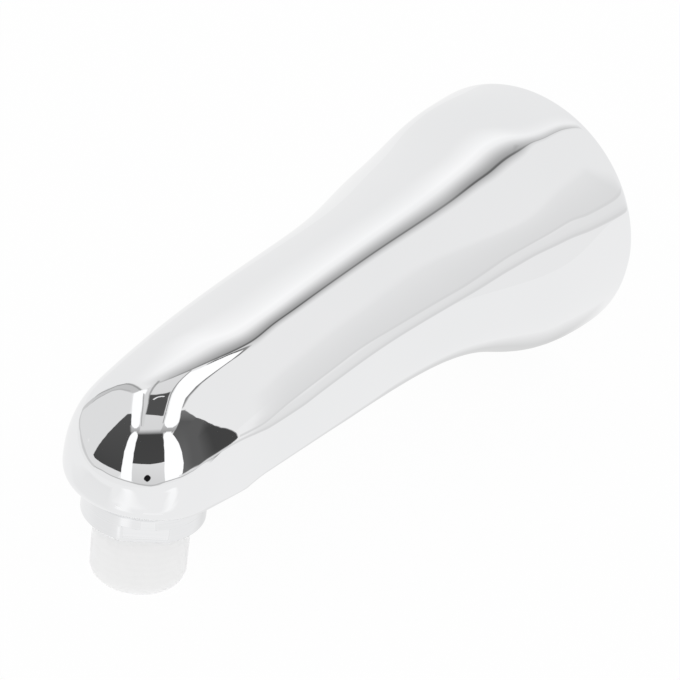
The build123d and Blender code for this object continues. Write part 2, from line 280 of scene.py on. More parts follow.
# Glowing cloth and cards: they light the spout and are mirrored in it, but the camera looks past them
def glowMaterial():
    material, tree = newMaterial("litCloth")
    tone = addNode(tree, "ShaderNodeAttribute", {"attribute_name": "tone"})
    cover = addNode(tree, "ShaderNodeAttribute", {"attribute_name": "cover"})
    clear = addNode(tree, "ShaderNodeBsdfTransparent")
    glow = addNode(tree, "ShaderNodeEmission", {"Strength": 1.0}, {"Color": tone.outputs["Color"]})
    blend = addNode(tree, "ShaderNodeMixShader", links={"Fac": cover.outputs["Fac"]})
    tree.links.new(clear.outputs[0], blend.inputs[1])
    tree.links.new(glow.outputs[0], blend.inputs[2])
    addNode(tree, "ShaderNodeOutputMaterial", links={"Surface": blend.outputs[0]})
    material.cycles.emission_sampling = "NONE"
    return material


# A card is a grid of points, too small to shade a matt piece, so only mirrors see it
def hangCloth(name, points, width, tones, covers, material):
    faces = []
    for i in range(0, len(points) - width, width):
        for k in range(i, i + width - 1):
            faces.append((k, k + 1, k + 1 + width, k + width))
    mesh = bpy.data.meshes.new(name)
    mesh.from_pydata(points, [], faces)
    for layer, values in (("tone", tones), ("cover", covers)):
        mesh.attributes.new(layer, "FLOAT", "POINT").data.foreach_set("value", values)
    cloth = bpy.data.objects.new(name, mesh)
    bpy.context.scene.collection.objects.link(cloth)
    wear(cloth, material)
    cloth.visible_camera = False
    cloth.visible_shadow = False
    cloth.visible_diffuse = False


# Points on a smooth curve through the given places
def smoothLine(places, steps):
    dense = []
    last = len(places) - 1
    for k in range(last):
        around = list(zip(places[max(k - 1, 0)], places[k], places[k + 1], places[min(k + 2, last)]))
        for j in range(steps):
            t = j / steps
            point = []
            for a, b, c, d in around:
                bend, twist = 2 * a - 5 * b + 4 * c - d, 3 * b - a - 3 * c + d
                point.append(0.5 * (2 * b + (c - a) * t + bend * t ** 2 + twist * t ** 3))
            dense.append(tuple(point))
    dense.append(tuple(places[-1]))
    return dense


# Rows of a card with its soft borders, close enough together to follow the round of the tent
def cardRows(card):
    rows = card["rows"]
    start, end = rows[0], rows[-1]
    _, _, low, high = card["fades"]
    dense = [(start[0] - low, start[1], start[2], 0.0, 0.0)]
    for first, second in zip(rows, rows[1:]):
        steps = max(1, min(tent["mostRows"], math.ceil((second[0] - first[0]) / tent["rowGap"])))
        for k in range(steps):
            along, l, r = (a + (b - a) * k / steps for a, b in zip(first, second))
            dense.append((along, l, r, (along - start[0]) / (end[0] - start[0]), 1.0))
    dense.append((*end, 1.0, 1.0))
    dense.append((end[0] + high, end[1], end[2], 1.0, 0.0))
    return dense


def hangCard(name, card, step, material):
    left, right, _, _ = card["fades"]
    lowTone, highTone = card["tones"]
    columns = tent["cardColumns"]
    points, tones, covers = [], [], []
    for along, l, r, share, cover in cardRows(card):
        sides = [l - left] + [l + (r - l) * k / columns for k in range(columns + 1)] + [r + right]
        points += [hungPoint(card.get("on", "tent"), side, along, step) for side in sides]
        tones += [lowTone + (highTone - lowTone) * share] * len(sides)
        covers += [0.0] + [cover] * (columns + 1) + [0.0]
    hangCloth(name, points, columns + 3, tones, covers, material)


def hangLine(name, seam, step, material):
    half, soft = seam["half"], seam["half"] + seam["fade"]
    dense = smoothLine(seam["line"], tent["lineSteps"])
    points, covers = [], []
    for k, (side, along) in enumerate(dense):
        before, after = dense[max(k - 1, 0)], dense[min(k + 1, len(dense) - 1)]
        length = math.dist(before, after)
        outX, outY = (after[1] - before[1]) / length, (before[0] - after[0]) / length
        for offset, cover in ((-soft, 0.0), (-half, 1.0), (half, 1.0), (soft, 0.0)):
            points.append(hungPoint("tent", side + outX * offset, along + outY * offset, step))
            covers.append(cover)
    hangCloth(name, points, 4, [seam["tone"]] * len(points), covers, material)


def hangEdge(name, edge, step, material):
    places = [place + (1,) * (5 - len(place)) for place in edge["line"]]
    points, tones, covers = [], [], []
    for across, along, strength, side, spread in smoothLine(places, tent["edgeSteps"]):
        for offset, tone, cover in edge["columns"]:
            shift = offset * spread
            place = (across, along + shift) if edge["on"] == "wall" else (across + shift, along)
            points.append(hungPoint(edge["on"], *place, step))
            tones.append(tone)
            share = cover * strength * (side if offset > tent["edgeCore"] else 1)
            covers.append(max(0.0, min(1.0, share)))
    hangCloth(name, points, len(edge["columns"]), tones, covers, material)


def buildTent():
    material = glowMaterial()
    deselectAll()
    bpy.ops.mesh.primitive_uv_sphere_add(
        segments=64, ring_count=32, radius=tent["clothRadius"], location=tent["centre"])
    cloth = bpy.context.object
    cloth.name = "tentCloth"
    for layer, value in (("tone", tent["cloth"]), ("cover", 1.0)):
        attribute = cloth.data.attributes.new(layer, "FLOAT", "POINT")
        attribute.data.foreach_set("value", [value] * len(cloth.data.vertices))
    wear(cloth, material)
    cloth.visible_camera = False
    cloth.visible_shadow = False
    hung = 0
    for hang, group in ((hangCard, "cards"), (hangLine, "lines"), (hangEdge, "edges")):
        for name, sheet in tent[group].items():
            hang(name, sheet, hung, material)
            hung += 1


buildTent()
print("tent hung with", len(tent["cards"]), "cards")

# A white table that the cap and the wall end stand on, with a faint shadow. Metres
table = {"level": -0.0355, "size": 6.0, "mirrored": 0.93, "shadowShare": 0.04}


# The camera sees it white, and mirrors see it a little darker
def buildTable():
    deselectAll()
    bpy.ops.mesh.primitive_grid_add(
        x_subdivisions=12, y_subdivisions=12, size=table["size"], location=(0, 0, table["level"]))
    floor = bpy.context.object
    floor.name = "whiteTable"
    material, tree = newMaterial("whiteTable")
    path = addNode(tree, "ShaderNodeLightPath")
    white = addNode(tree, "ShaderNodeEmission", {"Color": (1, 1, 1, 1), "Strength": 1.0})
    board = addNode(tree, "ShaderNodeBsdfDiffuse", {"Color": linearColour("FCFCFC")})
    seen = addNode(tree, "ShaderNodeMixShader", {"Fac": table["shadowShare"]})
    tree.links.new(white.outputs[0], seen.inputs[1])
    tree.links.new(board.outputs[0], seen.inputs[2])
    tone = table["mirrored"]
    mirrored = addNode(tree, "ShaderNodeEmission", {"Color": (tone, tone, tone, 1), "Strength": 1.0})
    blend = addNode(tree, "ShaderNodeMixShader", links={"Fac": path.outputs["Is Camera Ray"]})
    tree.links.new(mirrored.outputs[0], blend.inputs[1])
    tree.links.new(seen.outputs[0], blend.inputs[2])
    addNode(tree, "ShaderNodeOutputMaterial", links={"Surface": blend.outputs[0]})
    material.cycles.emission_sampling = "NONE"
    wear(floor, material)


buildTable()
world = bpy.data.worlds.new("whiteRoom")
bpy.context.scene.world = world
world.use_nodes = True
world.node_tree.nodes["Background"].inputs["Color"].default_value = (1, 1, 1, 1)
world.node_tree.nodes["Background"].inputs["Strength"].default_value = 1.0
print("table and room ready")

# The body: a hollow casting, round at the wall, squared and turned down at the nose. Millimetres
spout = {
    "reach": 158.0, "wallEndRadius": 35.0, "noseRadius": 19.9,
    "underside": -10.2, "faceLevel": -9.8, "faceDive": 12.0,
    "edgeRadius": 4.6, "leastEdge": 0.5, "edgeOpening": 6.0, "edgeRun": 30.0, "noseDraft": 0.4, "neckTaper": 0.018,
    "crownLevel": 26.4, "crownDrop": 10.4, "crownRun": 32.7,
    # a flare is the length at which half of it is gone, and how sharply it goes
    "sideFlare": (55.6, 3.9), "topFlare": (23.6, 4.4), "underFlare": (41.0, 2.6), "square": (70.0, 4.0),
    "crownPower": 3.2, "underPower": 2.95, "noseBelt": 0.075,
    "seamStart": 70.0, "seamLift": 0.02, "turnPower": 1.3, "halvings": 34,
    "wall": 3.0, "recess": 24.0, "web": 4.0, "hubRadius": 18.5, "hubFoot": 6.0, "hubRecess": 14.0, "hubLength": 30.0,
    "inletBore": 13.25, "grooveRadius": 15.75, "grooveDepth": 2.5, "hubEase": 0.5,
    "bossRadius": 15.5, "bossHeight": 11.0, "outletBore": 10.53, "outletLand": 13.0, "bossEase": 0.3,
    # fillets between web and wall: (away from the web, off the wall)
    "cavityEnd": 1.0, "cavityFillet": (0.3, 0.8), "recessFillet": ((0.2, 2.2), (0.9, 0.7), (2.4, 0.0)),
    "recessRings": (-18.0, -13.0, -8.0, -4.0, -1.4, -0.5), "rimEase": 0.12, "rimFlat": 0.5,
    "rings": 46, "turns": 26, "cavityRings": 16, "cavityTurns": 10, "lowPoints": 21,
}
outletY = -spout["reach"]
elbowY = outletY + spout["noseRadius"]
# degrees over the top of a section, closer together where it turns quickly
quarter = [0, 2.2, 4.6, 7.2, 10, 13, 16.5, 20.5, 25, 30, 35.5, 41, 47, 53, 59, 65, 71, 77.4, 83.8, 90]
arcAngles = quarter + [180 - a for a in reversed(quarter[:-1])]


def fade(y, shape):
    half, power = shape
    return 1 / (1 + (max(-y, 0) / half) ** power)


# 1 at the wall, 0 at the end of the run
def flare(y, endY, shape):
    rest = fade(endY, shape)
    return max((fade(y, shape) - rest) / (1 - rest), 0)


def halfWidth(y, inset):
    gain = spout["wallEndRadius"] - spout["noseRadius"] - spout["neckTaper"] * spout["reach"]
    neck = spout["noseRadius"] + spout["neckTaper"] * (y - outletY)
    return neck + gain * flare(y, outletY, spout["sideFlare"]) - inset


def crownLine(y, inset):
    level, drop, run = spout["crownLevel"], spout["crownDrop"], spout["crownRun"]
    gain = spout["wallEndRadius"] - level + drop * math.exp(outletY / run)
    crown = level - drop * math.exp((outletY - y) / run)
    return crown + gain * flare(y, outletY, spout["topFlare"]) - inset


def underLine(y, inset):
    gain = spout["wallEndRadius"] + spout["underside"]
    dive = spout["faceDive"] * max((elbowY - y) / spout["noseRadius"], 0) ** 2
    return spout["underside"] - gain * flare(y, elbowY, spout["underFlare"]) - dive + inset


# 0 for the round section at the wall, near 1 for the squared one at the nose
def squared(y):
    return 1 - fade(y, spout["square"])


# Level at which a section is widest
def beltLine(y, inset):
    share = 0.5 + (spout["noseBelt"] - 0.5) * squared(y) ** 2
    low = underLine(max(y, elbowY), inset)
    return low + (crownLine(y, inset) - low) * share


# True where a point is inside the skin, or inside the cavity with an inset of the wall
def insideSkin(x, y, z, inset):
    opening = math.radians(spout["edgeOpening"])
    nose = spout["noseRadius"] - inset
    face = spout["faceLevel"] + inset
    ahead = (outletY - y) * (1 if y >= outletY else nose / (nose - spout["noseDraft"]))
    out = abs(x) / halfWidth(y, inset) if y >= outletY else math.hypot(x, ahead) / nose
    if out > 1 or (y < elbowY and z < face):
        return False
    edge = max(spout["edgeRadius"] - inset, spout["leastEdge"])
    if y < elbowY + spout["edgeRun"] and z < face + edge:   # the rounded edge of the flat under the nose
        limit = nose - edge + math.sqrt(max(edge ** 2 - (face + edge - z) ** 2, 0))
        if ahead > abs(x) * math.tan(opening):
            away = math.hypot(x, ahead)
        else:
            away = abs(x) * math.cos(opening) + ahead * math.sin(opening)
        if away > limit:
            return False
    belt = beltLine(y, inset)
    if z > belt:
        power = 2 + (spout["crownPower"] - 2) * squared(y) ** 3
        return out ** power + ((z - belt) / (crownLine(y, inset) - belt)) ** power <= 1
    power = 2 + (spout["underPower"] - 2) * squared(y)
    return out ** power + ((belt - z) / (belt - underLine(y, inset))) ** power <= 1


# The furthest point inside the skin from a middle point in a given direction
def skinPoint(middle, way, inset):
    near, far = 0.0, 3 * spout["wallEndRadius"]
    for _ in range(spout["halvings"]):
        step = (near + far) / 2
        if insideSkin(*(m + step * w for m, w in zip(middle, way)), inset):
            near = step
        else:
            far = step
    return tuple(m + near * w for m, w in zip(middle, way))


# Level of the line that parts the upper arc of a section from its underside
def seamLevel(y, inset):
    share = min(max((-y - spout["seamStart"]) / (-elbowY - spout["seamStart"]), 0), 1)
    share = share * share * (3 - 2 * share)
    low = spout["faceLevel"] + inset + spout["seamLift"]
    belt = beltLine(y, inset)
    return belt + (low - belt) * share


def upperArc(y, turn, inset, level):
    lean = math.radians(turn)
    points = []
    for angle in arcAngles:
        across, along = math.cos(math.radians(angle)), math.sin(math.radians(angle))
        way = (across, -math.sin(lean) * along, math.cos(lean) * along)
        points.append(skinPoint((0, y, level), way, inset))
    return points


def underArc(y, inset, level, end):
    points = []
    for step in range(1, spout["lowPoints"] + 1):
        x = -end * math.cos(math.pi * step / (spout["lowPoints"] + 1))
        points.append(skinPoint((x, y, level), (0, 0, -1), inset))
    return points


# A closed loop round the body
def bodyLoop(y, inset):
    level = seamLevel(y, inset)
    arc = upperArc(y, 0, inset, level)
    return arc + underArc(y, inset, level, arc[0][0])


# An open loop over the nose, turned about a line that moves forward
def noseLoop(turn, inset):
    y = elbowY + (outletY - elbowY) * (turn / 90) ** spout["turnPower"]
    return upperArc(y, turn, inset, spout["faceLevel"] + inset + spout["seamLift"])


# A closed line of points, drawn as a circle that is then placed point by point
def startLoop(name, points):
    deselectAll()
    bpy.ops.mesh.primitive_circle_add(vertices=len(points), radius=0.01, location=(0, 0, 0))
    piece = bpy.context.object
    piece.name = name
    bpy.ops.object.mode_set(mode="EDIT")
    mesh = bmesh.from_edit_mesh(piece.data)
    mesh.verts.ensure_lookup_table()
    order = list(range(len(points)))
    for index, point in zip(order, points):
        mesh.verts[index].co = Vector(point) * mm
    bmesh.update_edit_mesh(piece.data)
    return piece, order


# Selects the edges along a line of vertices, alone or besides what is already selected
def selectLine(piece, order, closed=True, alone=True):
    if alone:
        bpy.ops.mesh.select_all(action="DESELECT")
    mesh = bmesh.from_edit_mesh(piece.data)
    mesh.verts.ensure_lookup_table()
    ends = order[1:] + order[:1] if closed else order[1:]
    for first, second in zip(order, ends):
        mesh.edges.get((mesh.verts[first], mesh.verts[second])).select_set(True)
    bmesh.update_edit_mesh(piece.data)


# Extrudes a line of edges and moves each new vertex to its point
def pullLoop(piece, order, points, closed=True):
    selectLine(piece, order, closed)
    bpy.ops.mesh.extrude_region_move()
    mesh = bmesh.from_edit_mesh(piece.data)
    mesh.verts.ensure_lookup_table()
    mesh.verts.index_update()
    fresh = []
    for index, point in zip(order, points):
        old = mesh.verts[index]
        new = next(e.other_vert(old) for e in old.link_edges if e.other_vert(old).select)
        new.co = Vector(point) * mm
        fresh.append(new.index)
    bmesh.update_edit_mesh(piece.data)
    return fresh


# A tube through all the rows, each drawn by the given function. Returns its two open ends too
def pullRows(name, rows, draw):
    piece, first = startLoop(name, draw(*rows[0]))
    last = first
    for row in rows[1:]:
        last = pullLoop(piece, last, draw(*row))
    return piece, first, last


def bridgeLoops(piece, first, second):
    selectLine(piece, first)
    selectLine(piece, second, alone=False)
    bpy.ops.mesh.bridge_edge_loops()


# Turns all faces outwards and leaves edit mode
def faceOutwards():
    bpy.ops.mesh.select_all(action="SELECT")
    bpy.ops.mesh.normals_make_consistent(inside=False)
    bpy.ops.object.mode_set(mode="OBJECT")


# Each inner corner of a profile becomes two points a small way before and after it
def softCorners(profile, ease):
    soft = [profile[0]]
    for before, corner, after in zip(profile, profile[1:], profile[2:]):
        for end in (before, after):
            share = min(ease / math.dist(corner, end), 0.45)   # less than half, so that two corners never meet
            soft.append(tuple(c + (e - c) * share for c, e in zip(corner, end)))
    return soft + [profile[-1]]


loopAngles = [math.radians(a) for a in arcAngles]
loopAngles += [math.pi + math.pi * k / (spout["lowPoints"] + 1) for k in range(1, spout["lowPoints"] + 1)]


def inletCircle(radius, y):
    return [(radius * math.cos(a), y, radius * math.sin(a)) for a in loopAngles]


def applyModifier(piece, kind, settings):
    modifier = piece.modifiers.new(kind, kind)
    for name, value in settings.items():
        setattr(modifier, name, value)
    bpy.context.view_layer.objects.active = piece
    bpy.ops.object.modifier_apply(modifier=modifier.name)


# The arcs over the nose, each pulled from the one before it
def pullNose(piece, ring, turns, inset):
    arc, arcs = ring[:len(arcAngles)], []
    for step in range(1, turns + 1):
        arc = pullLoop(piece, arc, noseLoop(90 * step / turns, inset), closed=False)
        arcs.append(arc)
    return arcs


# The line round the flat under the nose: over the front, back along one side, under the body, along the other
def faceLine(arcs, ring):
    count = len(arcAngles)
    left = [arc[count - 1] for arc in reversed(arcs[:-1])] + [ring[count - 1]]
    right = [ring[0]] + [arc[0] for arc in arcs[:-1]]
    return arcs[-1] + left + ring[count:] + right


def outletCircle(piece, order, radius, z):
    mesh = bmesh.from_edit_mesh(piece.data)
    mesh.verts.ensure_lookup_table()
    points = []
    for index in order:
        place = mesh.verts[index].co / mm
        turn = math.atan2(place.y - outletY, place.x)
        points.append((radius * math.cos(turn), outletY + radius * math.sin(turn), z))
    return points


# Pulled in one line: through the cavity, round the hub, out of the recess, over the rim and along the skin
def buildSpout():
    wall, recess, web = spout["wall"], spout["recess"], spout["web"]
    hub, bore, groove = spout["hubRadius"], spout["inletBore"], spout["grooveRadius"]
    rear = -spout["hubRecess"]
    seat, front = rear - spout["grooveDepth"], rear - spout["hubLength"]
    piece, cavityRing = startLoop("spoutShell", bodyLoop(elbowY, wall))
    order = cavityRing
    for step in range(1, spout["cavityRings"] + 1):
        y = elbowY + (-recess - web - spout["cavityEnd"] - elbowY) * step / spout["cavityRings"]
        order = pullLoop(piece, order, bodyLoop(y, wall))
    away, off = spout["cavityFillet"]
    order = pullLoop(piece, order, bodyLoop(-recess - web - away, wall + off))
    foot = hub + spout["hubFoot"]
    hubLine = [
        (foot, -recess - web), (hub, -recess - web), (hub, front), (bore, front), (bore, seat),
        (groove, seat), (groove, rear), (hub, rear), (hub, -recess), (foot, -recess)]
    for radius, y in softCorners(hubLine, spout["hubEase"]):
        order = pullLoop(piece, order, inletCircle(radius, y))
    for away, off in spout["recessFillet"]:
        order = pullLoop(piece, order, bodyLoop(-recess + away, wall + off))
    for y in spout["recessRings"]:
        order = pullLoop(piece, order, bodyLoop(y, wall))
    ease, flat = spout["rimEase"], spout["rimFlat"]
    for y, inset in ((-ease, wall - ease), (0, wall - flat), (0, flat), (-ease, ease)):
        order = pullLoop(piece, order, bodyLoop(y, inset))
    for step in range(spout["rings"] + 1):
        y = -flat + (elbowY + flat) * step / spout["rings"]
        order = pullLoop(piece, order, bodyLoop(y, 0))
    order = faceLine(pullNose(piece, order, spout["turns"], 0), order)
    face = spout["faceLevel"]
    top, outlet, boss = face + spout["bossHeight"], spout["outletBore"], spout["bossRadius"]
    bossLine = [(spout["outletLand"], face), (outlet, face), (outlet, top), (boss, top),
                (boss, face + wall + spout["bossEase"])]
    for radius, z in softCorners(bossLine, spout["bossEase"]):
        order = pullLoop(piece, order, outletCircle(piece, order, radius, z))
    cavityFloor = faceLine(pullNose(piece, cavityRing, spout["cavityTurns"], wall), cavityRing)
    bridgeLoops(piece, cavityFloor, order)
    faceOutwards()
    applyModifier(piece, "SUBSURF", {"levels": 1, "render_levels": 1})
    bpy.ops.object.shade_smooth()
    return piece


shell = buildSpout()
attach(shell, "root")
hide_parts("spout_body")
print("spout shell:", len(shell.data.polygons), "faces")


# A screw thread as one profile that climbs round the Z axis, with flats of the crest's width. Millimetres
def threadHelix(name, inner, outer, pitch, turns, crest):
    deselectAll()
    bpy.ops.mesh.primitive_plane_add(size=0.001, location=(0, 0, 0))
    helix = bpy.context.object
    helix.name = name
    bpy.ops.object.mode_set(mode="EDIT")
    bpy.ops.mesh.delete(type="ONLY_FACE")
    mesh = bmesh.from_edit_mesh(helix.data)
    mesh.verts.ensure_lookup_table()
    slope = (pitch - 2 * crest) / 2
    corners = [(inner, 0), (inner, crest), (outer, crest + slope), (outer, 2 * crest + slope), (inner, pitch)]
    line = [mesh.verts.new((r * mm, 0, z * mm)) for r, z in corners]
    for vert in list(mesh.verts)[:4]:   # the plane's own corners
        mesh.verts.remove(vert)
    for first, second in zip(line, line[1:]):
        mesh.edges.new((first, second))
    bmesh.update_edit_mesh(helix.data)
    bpy.ops.object.mode_set(mode="OBJECT")
    applyModifier(helix, "SCREW", {
        "axis": "Z", "steps": 64, "render_steps": 64, "angle": 2 * math.pi, "screw_offset": pitch * mm,
        "iterations": turns, "use_merge_vertices": True, "merge_threshold": 0.00001, "use_smooth_shade": True})
    return helix


def joinThread(piece, helix):
    deselectAll()
    helix.select_set(True)
    piece.select_set(True)
    bpy.context.view_layer.objects.active = piece
    bpy.ops.object.join()


# The outlet nipple: collar with two wrench flats, a plain stub at the thread's outer radius above it and the male
# thread below it. Millimetres
nipple = {
    "bore": 7.6, "collarRadius": 14.75, "collarTop": -10.8, "collarBottom": -17.85, "ease": 0.12,
    "flatsAcross": 27.0, "flatsHeight": 4.3, "flatsTurn": 39.0,
    # the collar's upper edge: (in from its radius, down from its top)
    "topEdge": ((0.32, 0.0), (0.2, 0.03), (0.03, 0.2), (0.0, 0.32), (0.0, 0.44)),
    # both ends of the flats: (in from the collar's radius, up from that end, out from the flats)
    "flatsTop": ((0.03, 0.03, 2.0), (0.05, 0.0, 0.4), (0.05, -0.15, 0.0), (0.05, -0.27, 0.0)),
    "flatsFoot": ((0.03, 0.74, 0.0), (0.03, 0.62, 0.0), (0.08, 0.5, -0.06), (0.5, 0.05, -0.5), (0.62, 0.0, -0.7)),
    "thread": 10.48, "threadRoot": 9.35, "pitch": 1.814, "crest": 0.3, "threadTurns": 7, "threadStart": 0.6,
    "upperEnd": 0.2, "lowerEnd": -32.65, "threadChamfer": 1.0, "endChamfer": 0.5, "sink": 0.05,
    "smoothAngle": 20.0, "points": 144,
}


# A circle cut by the two flats
def flatCircle(radius, z, across):
    turn = math.radians(nipple["flatsTurn"])
    points = []
    for k in range(nipple["points"]):
        angle = 2 * math.pi * k / nipple["points"]
        along, over = radius * math.cos(angle), radius * math.sin(angle)
        over = min(max(over, -across / 2), across / 2)
        x = along * math.cos(turn) - over * math.sin(turn)
        y = along * math.sin(turn) + over * math.cos(turn)
        points.append((x, outletY + y, z))
    return points


def buildNipple():
    n = nipple
    radius, flats, top, bottom = n["collarRadius"], n["flatsAcross"], n["collarTop"], n["collarBottom"]
    wide = 2 * radius
    ledge = bottom + n["flatsHeight"]
    upper, lower, thread, root = n["upperEnd"], n["lowerEnd"], n["thread"], n["threadRoot"]
    line = [(n["bore"], upper, wide), (thread - n["threadChamfer"], upper, wide),
            (thread, upper - n["threadChamfer"], wide), (thread, top, wide)]
    line += [(radius - inward, top - down, wide) for inward, down in n["topEdge"]]
    line += [(radius, ledge + 2 * n["ease"], wide), (radius, ledge + n["ease"], wide)]
    line += [(radius - inward, ledge + up, flats + off) for inward, up, off in n["flatsTop"]]
    line += [(radius - inward, bottom + up, flats + off) for inward, up, off in n["flatsFoot"]]
    line += [(root, bottom, wide), (root, lower + n["endChamfer"], wide),
             (root - n["endChamfer"], lower, wide), (n["bore"], lower, wide)]
    piece, first, last = pullRows("outletNipple", line, flatCircle)
    bridgeLoops(piece, first, last)
    faceOutwards()
    bpy.ops.object.shade_smooth_by_angle(angle=math.radians(n["smoothAngle"]))
    helix = threadHelix("nippleThread", root - n["sink"], thread, n["pitch"], n["threadTurns"], n["crest"])
    helix.data.transform(Matrix.Translation((0, outletY * mm, (lower + n["threadStart"]) * mm)))
    joinThread(piece, helix)
    return piece


outletNipple = buildNipple()
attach(outletNipple, "root")
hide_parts("outlet_nipple")
print("outlet nipple:", len(outletNipple.data.polygons), "faces")

# The soft cap that is pushed over the lower thread. Millimetres
cap = {
    "outer": 11.45, "inner": 10.6, "top": -18.05, "bottom": -35.35, "floor": 1.5, "edge": 3.2,
    "lip": 0.25, "lipRow": 0.3, "lipCut": (0.08, 0.07), "middle": 0.4, "baseRing": 2.5,
    "smoothAngle": 50.0, "points": 128, "edgeSteps": 8,
}


def capCircle(radius, z):
    angles = [2 * math.pi * k / cap["points"] for k in range(cap["points"])]
    return [(radius * math.cos(a), outletY + radius * math.sin(a), z) for a in angles]


def buildCap():
    outer, inner, top, bottom, edge = (cap[k] for k in ("outer", "inner", "top", "bottom", "edge"))
    lip, (cutIn, cutDown) = cap["lip"], cap["lipCut"]
    inEdge = edge - (outer - inner)
    inBottom = bottom + cap["floor"]
    half = (top + bottom) / 2
    turns = [math.pi / 2 * k / cap["edgeSteps"] for k in range(cap["edgeSteps"] + 1)]
    line = [(cap["middle"], bottom), (outer - edge - cap["baseRing"], bottom)]
    line += [(outer - edge + edge * math.sin(t), bottom + edge - edge * math.cos(t)) for t in turns]
    line += [(outer, half), (outer, top - lip - cap["lipRow"]), (outer, top - lip),
             (outer - cutIn, top - cutDown), (outer - lip, top), (inner + lip, top),
             (inner + cutIn, top - cutDown), (inner, top - lip), (inner, half)]
    line += [(inner - inEdge + inEdge * math.cos(t), inBottom + inEdge - inEdge * math.sin(t)) for t in turns]
    line += [(cap["middle"], inBottom)]
    piece, first, last = pullRows("threadCap", line, capCircle)
    for end in (first, last):
        selectLine(piece, end)
        bpy.ops.mesh.edge_face_add()
    faceOutwards()
    bpy.ops.object.shade_smooth_by_angle(angle=math.radians(cap["smoothAngle"]))
    return piece


threadCap = buildCap()
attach(threadCap, "root")
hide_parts("thread_cap")
print("thread cap:", len(threadCap.data.polygons), "faces")

# The brass bush in the inlet hub: hexagon for the key, shank, and the female pipe thread. Millimetres
bush = {
    "flats": 32.0, "rear": -8.0, "hexagon": 6.0, "shank": 22.0, "shankRadius": 13.2, "chamfer": 0.8,
    # rounded ends of the hexagon: (out from the flats, in from the end), and rows along its corners
    "rearEdge": ((-0.6, 0.0), (-0.1, 0.06)), "frontEdge": ((-0.1, 0.04), (-0.6, 0.0)), "cornerRows": (1.5, 3.0, 5.2),
    "threadBore": 9.3, "threadRoot": 10.4, "threadDepth": 18.0, "pitch": 1.814, "crest": 0.3, "threadTurns": 9,
    "threadStart": 1.2, "sink": 0.05, "mouth": (0.2, 1.0), "water": 7.0, "waterEase": 0.4, "waterMouth": 0.3,
    "smoothAngle": 30.0, "points": 144,
}


# A circle cut by the six flats
def hexCircle(radius, y):
    sixth = math.pi / 6
    points = []
    for k in range(bush["points"]):
        a = 2 * math.pi * k / bush["points"]
        r = min(radius, bush["flats"] / 2 / math.cos(a % (2 * sixth) - sixth))
        points.append((r * math.cos(a + sixth), y, r * math.sin(a + sixth)))
    return points


def buildBush():
    b = bush
    half = b["flats"] / 2
    corner = half / math.cos(math.pi / 6)
    rear, shoulder = b["rear"], b["rear"] - b["hexagon"]
    front = shoulder - b["shank"]
    step = rear - b["threadDepth"]
    shank, water, root, ease = b["shankRadius"], b["water"], b["threadRoot"], b["waterEase"]
    mouthOut, mouthIn = b["mouth"]
    line = [(root + mouthOut, rear)]
    line += [(half + off, rear - inward) for off, inward in b["rearEdge"]]
    line += [(corner, rear - inward) for inward in b["cornerRows"]]
    line += [(half + off, shoulder + inward) for off, inward in b["frontEdge"]]
    line += [(shank, shoulder), (shank, front + b["chamfer"]), (shank - b["chamfer"], front),
             (water + ease, front), (water, front + ease), (water, step - ease),
             (water + b["waterMouth"], step), (root, step), (root, rear - mouthIn)]
    piece, first, last = pullRows("inletBush", line, hexCircle)
    bridgeLoops(piece, first, last)
    faceOutwards()
    bpy.ops.object.shade_smooth_by_angle(angle=math.radians(b["smoothAngle"]))
    helix = threadHelix("bushThread", root + b["sink"], b["threadBore"], b["pitch"], b["threadTurns"], b["crest"])
    helix.data.transform(Matrix.Rotation(math.radians(90), 4, "X"))
    helix.data.transform(Matrix.Translation((0, (rear - b["threadStart"]) * mm, 0)))
    joinThread(piece, helix)
    return piece


inletBush = buildBush()
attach(inletBush, "root")
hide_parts("inlet_bush")
print("inlet bush:", len(inletBush.data.polygons), "faces")


# Bright chrome on a polished casting: a clear mirror, with the slow waves that hand polishing leaves.
# Wiping marks are about 0.1 mm and too fine to show, so their haze is drawn at 1.43 mm
def polishedChromeCasting():
    material, tree = newMaterial("polishedChromeCasting")
    place = addNode(tree, "ShaderNodeTexCoord").outputs["Object"]
    waves = addNode(tree, "ShaderNodeTexNoise", {"Scale": 1 / (26.3 * mm), "Detail": 1.0}, {"Vector": place})
    haze = addNode(tree, "ShaderNodeTexNoise", {"Scale": 1 / (1.43 * mm), "Detail": 4.0}, {"Vector": place})
    cloud = addNode(tree, "ShaderNodeTexNoise", {"Scale": 1 / (40 * mm)}, {"Vector": place})   # uneven plating
    bump = addNode(tree, "ShaderNodeBump", {"Strength": 1.0, "Distance": 0.03 * mm}, {"Height": waves.outputs["Fac"]})
    rough = addNode(tree, "ShaderNodeMapRange", {"To Min": 0.008, "To Max": 0.03}, {"Value": haze.outputs["Fac"]})
    tint = addNode(tree, "ShaderNodeValToRGB", links={"Fac": cloud.outputs["Fac"]})
    tint.color_ramp.elements[0].color = linearColour("F0F1F2")
    tint.color_ramp.elements[1].color = linearColour("F4F4F5")
    shader = addNode(tree, "ShaderNodeBsdfPrincipled", {"Metallic": 1.0}, {
        "Base Color": tint.outputs["Color"], "Roughness": rough.outputs[0], "Normal": bump.outputs[0]})
    addNode(tree, "ShaderNodeOutputMaterial", links={"Surface": shader.outputs[0]})
    return material


